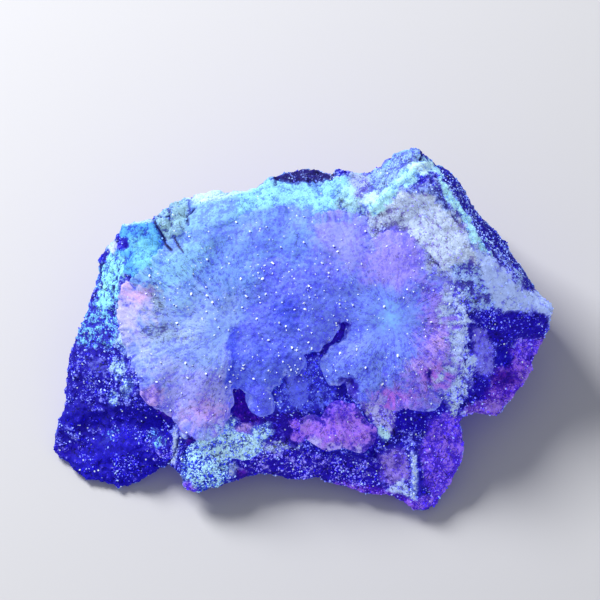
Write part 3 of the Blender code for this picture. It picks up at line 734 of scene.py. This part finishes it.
def build_rock():
    rock = dense_copy("matrix", "host_rock", ROCK_CELL, 4)
    places = points_of(rock)
    sketch = on_sketch(places)
    ragged = fractal(places, 0.9 * MM, 4)
    below = depth_below(rock)
    fan, rays = rays_of(sketch, SPRAY_MIDDLES["creedite_crust"])
    coat = paint_face(places, sketch, fan, rays, False)
    coat = paint_flank(coat, places, below, ragged, facing_of(rock))
    coarse = fractal(places, 1.9 * MM, 3)
    crumbs = 0.3 * ragged + 0.3 * coarse + 0.7 * knobs(places, 1.3 * MM) + 0.35 * knobs(places, 0.6 * MM)
    coat_piece(rock, coat, 0.5 + 0.9 * crumbs)
    on_face = below < FACE_DEPTH
    relief = np.zeros(len(places))
    add_hollows(relief, sketch, RELIEF_PATCHES)
    relief[~on_face] = 0
    for strength, half_width, points in CRACKS:
        line = distance_to_line(sketch, points)
        relief -= CRACK_DEPTH * strength * smooth_step(1.4 - line / half_width) * on_face
    for height, half_width, points in CRESTS:
        line = distance_to_line(sketch, points)
        relief += height * MM * smooth_step(1 - line / half_width) * on_face
    relief += CRUMB_HEIGHT * crumbs * coat[:, LUMPS]
    flat_base = smooth_step((places[:, 2] - 0.05 * MM) / (1.0 * MM))
    places += normals_of(rock) * (relief * flat_base)[:, None]
    set_points(rock, places)
    return rock, coat, below


def build_growth(node, name, cell, skirt):
    """A crystal growth: fine rays from the middle of each spray, and sides that close against the rock."""
    piece = dense_copy(node, name, cell, 9)
    places = points_of(piece)
    normals = normals_of(piece)
    sketch = on_sketch(places)
    ragged = fractal(places, 0.8 * MM, 4)
    fan, rays = rays_of(sketch, SPRAY_MIDDLES[node])
    # The druse lies outside this outline, so it gets no fibres and no rays
    outline = VIOLET_OUTLINE
    on_plate = np.zeros(len(places))
    if node == "creedite_crust":
        outline = CRUST_OUTLINE
        on_plate = smooth_step(0.5 + distance_inside(sketch, PLATE_OUTLINE) / 30 + 0.3 * ragged)
        coat = paint_face(places, sketch, fan, rays, True)
    elif node == "violet_spray":
        coat = paint_wedge(places, sketch, rays)
    else:
        coat = paint(sketch, wander_of(places), fractal(places, SPECKLE, 2), "cyan_lump", DRUSE_PATCHES, 1.5)
    rays *= 1 - on_plate
    crumbs = 0.5 * ragged + 0.6 * knobs(places, 0.7 * MM)
    in_crust = smooth_step(distance_inside(sketch, CRUST_OUTLINE) / RAY_FADE)
    inside = distance_inside(sketch, outline)
    coat_piece(piece, coat, 0.5 + 0.3 * rays * in_crust + 0.6 * crumbs)
    add_attribute(piece.data, "fan", "FLOAT_VECTOR", fan)
    add_attribute(piece.data, "fibre", "FLOAT", (1 - on_plate) * smooth_step(inside / RAY_FADE))
    facing = normals @ FACE
    sideways = normals - facing[:, None] * FACE
    sideways /= np.maximum(np.linalg.norm(sideways, axis=1), 1e-6)[:, None]
    side = smooth_step((0.9 - np.abs(facing)) / 0.4)
    grown_on = smooth_step(-distance_inside(sketch, LOWER_EDGE) / 8)
    lobed = fractal(places, 2.4 * MM, 2)
    spread = side * (SWELL + skirt * grown_on * (1.0 + 0.5 * ragged) + 0.9 * lobed * (1 - grown_on)) * MM
    relief = 0.1 * MM * ragged * side
    top = smooth_step((facing - 0.3) / 0.4)
    if node == "creedite_crust":
        add_hollows(relief, sketch, CRUST_RELIEF, top)
    grain = (0.1 + 0.2 * on_plate) * MM * crumbs * (0.4 + coat[:, LUMPS])
    strong = smooth_step((fan[:, 2] - 0.25) / 0.5) * smooth_step(inside / RAY_FADE)
    relief += top * (RAY_HEIGHT * rays * strong + grain)
    relief -= top * RIM_DROP * grown_on * smooth_step(1 - inside / 8)
    places += normals * relief[:, None] + sideways * spread[:, None]
    set_points(piece, places)
    return piece, coat


# Materials

class Field:
    """A socket's value, so that shader maths is written as plain expressions."""

    def __init__(self, tree, socket=None):
        self.tree = tree
        self.socket = socket

    def node(self, kind, settings=(), sockets=(), output=0):
        made = self.tree.nodes.new(kind)
        for name, value in dict(settings).items():
            setattr(made, name, value)
        for key, value in dict(sockets).items():
            if isinstance(value, Field):
                self.tree.links.new(value.socket, made.inputs[key])
            else:
                made.inputs[key].default_value = value
        return Field(self.tree, made.outputs[output])

    def maths(self, operation, first, second):
        return self.node("ShaderNodeMath", {"operation": operation}, {0: first, 1: second})

    def __add__(self, other):
        return self.maths("ADD", self, other)

    __radd__ = __add__

    def __sub__(self, other):
        return self.maths("SUBTRACT", self, other)

    def __rsub__(self, other):
        return self.maths("SUBTRACT", other, self)

    def __mul__(self, other):
        return self.maths("MULTIPLY", self, other)

    __rmul__ = __mul__

    def step(self, low, high):
        """0 below low, 1 above high, smooth between."""
        sockets = {"Value": self, "From Min": low, "From Max": high}
        return self.node("ShaderNodeMapRange", {"interpolation_type": "SMOOTHSTEP"}, sockets)

    def mix(self, first, second):
        """From the first colour to the second by this share."""
        return self.node("ShaderNodeMix", {"data_type": "RGBA"}, {0: self, 6: first, 7: second}, 2)

    def channel(self, index):
        """One channel of a colour."""
        return self.node("ShaderNodeSeparateColor", {}, {0: self}, index)

    def vector(self, operation, other):
        return self.node("ShaderNodeVectorMath", {"operation": operation}, {0: self, 1: other})

    def scaled(self, share):
        return self.node("ShaderNodeVectorMath", {"operation": "SCALE"}, {0: self, "Scale": share})

    def feed(self, socket):
        self.tree.links.new(self.socket, socket)


def attribute(start, name, output="Fac"):
    return start.node("ShaderNodeAttribute", {"attribute_name": name}, {}, output)


def cells(start, place, size, output="Color"):
    return start.node("ShaderNodeTexVoronoi", {"feature": "F1"}, {"Vector": place, "Scale": 1 / size}, output)


def cloud(start, place, size, detail, roughness=0.55, output=0):
    sockets = {"Vector": place, "Scale": 1 / size, "Detail": detail, "Roughness": roughness}
    return start.node("ShaderNodeTexNoise", {}, sockets, output)


def fissures(start, place, size, width, where):
    """Thin dark lines between cells of a size, kept only where the share says so."""
    sockets = {"Vector": place, "Scale": 1 / size}
    edge = start.node("ShaderNodeTexVoronoi", {"feature": "DISTANCE_TO_EDGE"}, sockets, "Distance")
    return (1 - edge.step(0.0, width)) * where


def new_material(name):
    material = bpy.data.materials.new(name)
    material.use_nodes = True
    shader = material.node_tree.nodes["Principled BSDF"]
    return material, shader, Field(material.node_tree)


def glow(shader, colour, strength):
    """A colour that the surface reflects and gives off."""
    colour.scaled(BODY).feed(shader.inputs["Base Color"])
    colour.scaled(strength).feed(shader.inputs["Emission Color"])
    shader.inputs["Emission Strength"].default_value = 1.0


def glowing_stone(name, size, fanned, roughness):
    """Grains over darker gaps, with white glints, glowing a little in their own colour."""
    material, shader, start = new_material(name)
    place = start.node("ShaderNodeTexCoord", {}, {}, "Object")
    wander = cloud(start, place, 0.5 * MM, 2.0, 0.5, 1)
    bent = place.vector("ADD", wander.scaled(0.25 * MM))
    coarse = cells(start, bent, size)
    fine = cells(start, bent, size * 0.5)
    coarse_value = coarse.channel(0)
    fine_value = fine.channel(0)
    raised = attribute(start, "raised")
    where = cloud(start, place, 1.6 * MM, 2.0).step(0.5, 0.6)
    lines = fissures(start, bent, 1.4 * MM, 0.07, where)
    streak = cloud(start, place, 2.2 * MM, 4.0)
    if fanned:
        fibre = attribute(start, "fibre")
        stretched = attribute(start, "fan", "Vector").vector("MULTIPLY", (26, 26, 7))
        streak = streak + (cloud(start, stretched, 1.0, 3.0, 0.5) - streak) * fibre
        value = 0.42 * streak + 0.12 * coarse_value + 0.16 * fine_value + 0.3 * raised
        dashes = cloud(start, place, 1.1 * MM, 2.0).step(0.5, 0.6)
        lines = fibre * fissures(start, stretched, 1.0, 0.12, dashes) + 0.6 * (1 - fibre) * lines
    else:
        value = 0.15 * coarse_value + 0.2 * fine_value + 0.25 * streak + 0.4 * raised
    level = 1 - attribute(start, "cover")
    spread = 0.5 + (value - 0.5) * 1.7
    mask = (spread - level).step(-0.12, 0.12)
    colour = mask.mix(attribute(start, "gap_colour", "Color"), attribute(start, "grain_colour", "Color"))
    lumps = attribute(start, "lumps")
    # With raised, the creases get more gap colour above and are darkened here, and the knob tops are
    # lightened: painted shade and light
    shade = 1.03 + lumps * (0.5 * fine.channel(1) + 0.56 * raised - 0.53)
    specks = fine.channel(2).step(0.9, 0.94)
    shade = shade * (1 - lumps * (0.9 if fanned else 0.8) * lines) * (1 - 0.4 * lumps * specks)
    glint = (coarse.channel(2) + 0.03 * attribute(start, "glint")).step(0.985, 1.0)
    glint = glint * (1 - cells(start, bent, size, "Distance").step(0.25, 0.4))
    glow(shader, glint.mix(colour.scaled(shade), GLINT_COLOUR), GLOW)
    (roughness - 0.3 * glint).feed(shader.inputs["Roughness"])
    shader.inputs["Specular IOR Level"].default_value = 0.2
    height = 0.5 * coarse_value + 0.3 * fine_value + 0.6 * streak
    bump = start.node("ShaderNodeBump", {}, {"Height": height, "Strength": 0.5, "Distance": 0.12 * MM})
    bump.feed(shader.inputs["Normal"])
    return material


def crystal_material():
    """The small scattered crystals, each in its own tint."""
    material, shader, start = new_material("small_crystals")
    place = start.node("ShaderNodeTexCoord", {}, {}, "Object")
    shade = 0.8 + 0.4 * cloud(start, place, 0.3 * MM, 1.0)
    glow(shader, attribute(start, "tint", "Color").scaled(shade), CRYSTAL_GLOW)
    shader.inputs["Roughness"].default_value = 0.3
    shader.inputs["Specular IOR Level"].default_value = 0.25
    return material


# Small crystals

def crystal_template():
    """One small crystal, 1 unit long: a four-sided prism drawn in to a point, with its foot closed."""
    bpy.ops.object.select_all(action="DESELECT")
    bpy.ops.mesh.primitive_cylinder_add(vertices=4, radius=0.32, depth=0.6, location=(0, 0, 0.3))
    crystal = bpy.context.active_object
    bpy.ops.object.mode_set(mode="EDIT")
    bpy.ops.mesh.select_all(action="DESELECT")
    bpy.ops.object.mode_set(mode="OBJECT")
    for face in crystal.data.polygons:
        face.select = face.normal.z > 0.9
    bpy.ops.object.mode_set(mode="EDIT")
    bpy.ops.mesh.select_mode(type="FACE")
    bpy.ops.mesh.extrude_region_move(TRANSFORM_OT_translate={"value": (0, 0, 0.4)})
    bpy.ops.mesh.merge(type="CENTER")
    bpy.ops.mesh.select_all(action="SELECT")
    bpy.ops.mesh.quads_convert_to_tris()
    bpy.ops.object.mode_set(mode="OBJECT")
    crystal.data.transform(crystal.matrix_world)
    points = points_of(crystal)
    # Merging leaves the tip's faces in a new order each run, so they are sorted
    faces = np.array(sorted(list(face.vertices) for face in crystal.data.polygons))
    bpy.data.objects.remove(crystal)
    return points, faces


def pick_places(obj, density):
    """Random places on a piece's skin: density is the wanted number in a square millimetre at each point."""
    mesh = obj.data
    mesh.calc_loop_triangles()
    corners = np.empty(len(mesh.loop_triangles) * 3, dtype=np.int32)
    mesh.loop_triangles.foreach_get("vertices", corners)
    corners = corners.reshape(-1, 3)
    places = points_of(obj)
    a, b, c = (places[corners[:, i]] for i in range(3))
    cross = np.cross(b - a, c - a)
    area = np.linalg.norm(cross, axis=1) / 2
    wanted = area / MM**2 * density[corners].mean(1)
    count = RANDOM.poisson(wanted.sum())
    chosen = RANDOM.choice(len(corners), size=count, p=wanted / wanted.sum())
    share = RANDOM.dirichlet((1, 1, 1), size=count)
    spots = (share[:, :, None] * places[corners[chosen]]).sum(1)
    normals = cross[chosen] / np.maximum(area[chosen] * 2, 1e-12)[:, None]
    nearest = corners[chosen, share.argmax(1)]
    return spots, normals, nearest


def sparkles(piece, density):
    """The larger crystals of the plate: a near-white crystal as a painted glint, and a dark navy crystal
    beside it as its painted shade.
    """
    spots, normals, _nearest = pick_places(piece, density)
    count = len(spots)
    sizes = (0.2 + 0.34 * RANDOM.random(count) ** 2.5) * MM
    side = np.array(FACE_TO_WORLD.to_3x3() @ Vector((0.6, -0.8, 0)))
    shaded = spots + side * (sizes * 0.6)[:, None]
    # Tints of the painted glints, then of the painted shade beside them
    bright = np.tile(linear((232, 246, 255)), (count, 1)) * RANDOM.uniform(0.7, 1.5, count)[:, None]
    dark = np.tile(linear((34, 44, 170)), (count, 1))
    return (np.concatenate([spots, shaded]), np.concatenate([normals, normals]),
            np.concatenate([sizes, sizes * 0.85]), np.concatenate([bright, dark]))


def scatter(name, template, spots, normals, sizes, tints, lean):
    """Copies of the crystal, each sunk a little into the skin and leaning its own way, as one mesh."""
    points, faces = template
    count = len(spots)
    up = normals + RANDOM.normal(size=(count, 3)) * lean
    up /= np.linalg.norm(up, axis=1)[:, None]
    side = np.cross(up, RANDOM.normal(size=(count, 3)))
    side /= np.linalg.norm(side, axis=1)[:, None]
    third = np.cross(up, side)
    turn = np.stack([side, third, up], axis=1)
    sunk = points[None] - np.array([0, 0, 0.35])
    placed = np.einsum("nij,njk->nik", np.repeat(sunk, count, axis=0), turn)
    placed = placed * sizes[:, None, None] + spots[:, None]
    corners = faces[None] + (np.arange(count) * len(points))[:, None, None]
    mesh = bpy.data.meshes.new(name)
    mesh.from_pydata(placed.reshape(-1, 3), [], corners.reshape(-1, 3).tolist())
    add_attribute(mesh, "tint", "FLOAT_COLOR", np.repeat(tints, len(points), axis=0))
    obj = bpy.data.objects.new(name, mesh)
    bpy.context.scene.collection.objects.link(obj)
    return obj


def grains_on(piece, name, coat, density, size, lean, whiteness, template, extra=None):
    """A druse of small crystals on a piece, in the colours that lie under it."""
    spots, normals, nearest = pick_places(piece, density)
    count = len(spots)
    sizes = (size[0] + (size[1] - size[0]) * RANDOM.random(count) ** 2.2) * MM
    under = coat[nearest]
    tints = under[:, GRAIN] * RANDOM.uniform(0.6, 1.2, count)[:, None]
    glint = under[:, GLINT][:, None]
    # Some crystals are whitened as painted glints, more of them where the coat's glint share is high
    white = RANDOM.random(count)[:, None] ** (1 / (whiteness * (0.2 + glint) + 0.01))
    tints = tints * (1 - white) + linear((190, 222, 255)) * white
    dull = (RANDOM.random(count) < 0.35)[:, None]
    tints = np.where(dull & (white < 0.5), under[:, GAP] * 1.3, tints) * np.array((1, 1, 1.35))
    if extra is not None:
        more = (spots, normals, sizes, tints)
        spots, normals, sizes, tints = (np.concatenate(pair) for pair in zip(more, extra))
    return scatter(name, template, spots, normals, sizes, np.clip(tints, 0, 1.6), lean)


def grains_on_rock(rock, coat, below, template):
    """Grains in clusters all over the rock, but not where the crust covers it."""
    places = points_of(rock)
    off_crust = distance_inside(on_sketch(places), CRUST_OUTLINE) < 1
    shown = smooth_step((facing_of(rock) - 0.1) / 0.3) * off_crust
    above_base = smooth_step((places[:, 2] - 1.0 * MM) / (2 * MM))
    clusters = smooth_step((fractal(places, 2.6 * MM, 3) + 0.25) / 0.6)
    density = (0.5 + 6.5 * clusters) * (shown + 0.3 * (1 - shown)) * above_base
    density = density * (0.25 + 1.2 * coat[:, GLINT])
    density *= off_crust | (below > 6 * MM)
    return grains_on(rock, "rock_grains", coat, density, (0.13, 0.5), 0.6, 0.22, template)


def glints_on_crust(crust, coat, template):
    """Fine crystals over the crust, and larger sparkling ones, most of them on the plate."""
    places = points_of(crust)
    top = facing_of(crust)
    on_plate = smooth_step(0.5 + distance_inside(on_sketch(places), PLATE_OUTLINE) / 50)
    drusy = smooth_step((fractal(places, 2.2 * MM, 3) + 0.1) / 0.5)
    larger = sparkles(crust, (top > 0.6) * (0.12 + 0.75 * on_plate * drusy))
    density = smooth_step((top - 0.5) / 0.3) * (0.25 + 1.0 * on_plate * drusy)
    return grains_on(crust, "crust_glints", coat, density, (0.12, 0.3), 0.9, 0.6, template, larger)


def crystals_on_druse(druse, coat, template):
    density = 5.0 * smooth_step((facing_of(druse) + 0.1) / 0.3)
    return grains_on(druse, "druse_crystals", coat, density, (0.25, 0.5), 0.6, 0.4, template)


# Stage

def stage():
    bpy.ops.object.select_all(action="DESELECT")
    bpy.ops.mesh.primitive_plane_add(size=6, location=(0, 0, 0))
    floor = bpy.context.active_object
    floor.name = "floor"
    material, shader, _start = new_material("pale_floor")
    shader.inputs["Base Color"].default_value = (0.55, 0.55, 0.57, 1)
    shader.inputs["Roughness"].default_value = 0.9
    floor.data.materials.append(material)
    world = bpy.data.worlds.new("studio")
    world.use_nodes = True
    background = world.node_tree.nodes["Background"]
    background.inputs["Color"].default_value = (0.9, 0.93, 1.0, 1)
    background.inputs["Strength"].default_value = 0.4
    bpy.context.scene.world = world
    lamp = bpy.data.lights.new("key", "AREA")
    lamp.size = 0.2
    lamp.energy = 5.2
    key = bpy.data.objects.new("key", lamp)
    key.location = KEY_PLACE
    key.rotation_euler = (Vector((0, 0, 0.01)) - Vector(KEY_PLACE)).to_track_quat("-Z", "Y").to_euler()
    bpy.context.scene.collection.objects.link(key)


def camera():
    """Square on to the display face, and framed as the sketch grid is."""
    eye = bpy.data.cameras.new("camera")
    eye.sensor_width = FILM_WIDTH
    eye.lens = FILM_WIDTH * CAMERA_DISTANCE / (GRID * UNIT)
    obj = bpy.data.objects.new("camera", eye)
    obj.location = FACE_TO_WORLD @ Vector((0, 0, FACE_HEIGHT)) + FACE_NORMAL * CAMERA_DISTANCE
    obj.rotation_euler = (TIP_BACK, 0, 0)
    bpy.context.scene.collection.objects.link(obj)
    bpy.context.scene.camera = obj


def main():
    bpy.context.scene.view_settings.view_transform = "Standard"
    noise.seed_set(5)
    rock, rock_coat, below = build_rock()
    crust, crust_coat = build_growth("creedite_crust", "crust", CRUST_CELL, 0.9)
    violet, _violet_coat = build_growth("violet_spray", "violet_wedge", SMALL_CELL, 0.0)
    druse, druse_coat = build_growth("lower_druse", "cyan_druse", SMALL_CELL, 0.0)
    template = crystal_template()
    rock_grains = grains_on_rock(rock, rock_coat, below, template)
    crust_glints = glints_on_crust(crust, crust_coat, template)
    druse_grains = crystals_on_druse(druse, druse_coat, template)
    rough_stone = glowing_stone("host_rock", ROCK_GRAIN, False, 0.8)
    fine_stone = glowing_stone("creedite", CRUST_GRAIN, True, 0.55)
    crystals = crystal_material()
    for piece, slot, material in ((rock, "host_rock", rough_stone), (rock_grains, "host_rock", crystals),
                                  (crust, "creedite", fine_stone), (crust_glints, "creedite", crystals),
                                  (violet, "violet_creedite", fine_stone),
                                  (druse, "drusy_creedite", rough_stone),
                                  (druse_grains, "drusy_creedite", crystals)):
        piece.data.materials.append(material)
        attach(piece, "root")
    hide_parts("matrix")
    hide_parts("creedite_crust")
    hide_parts("violet_spray")
    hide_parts("lower_druse")
    stage()
    camera()


main()
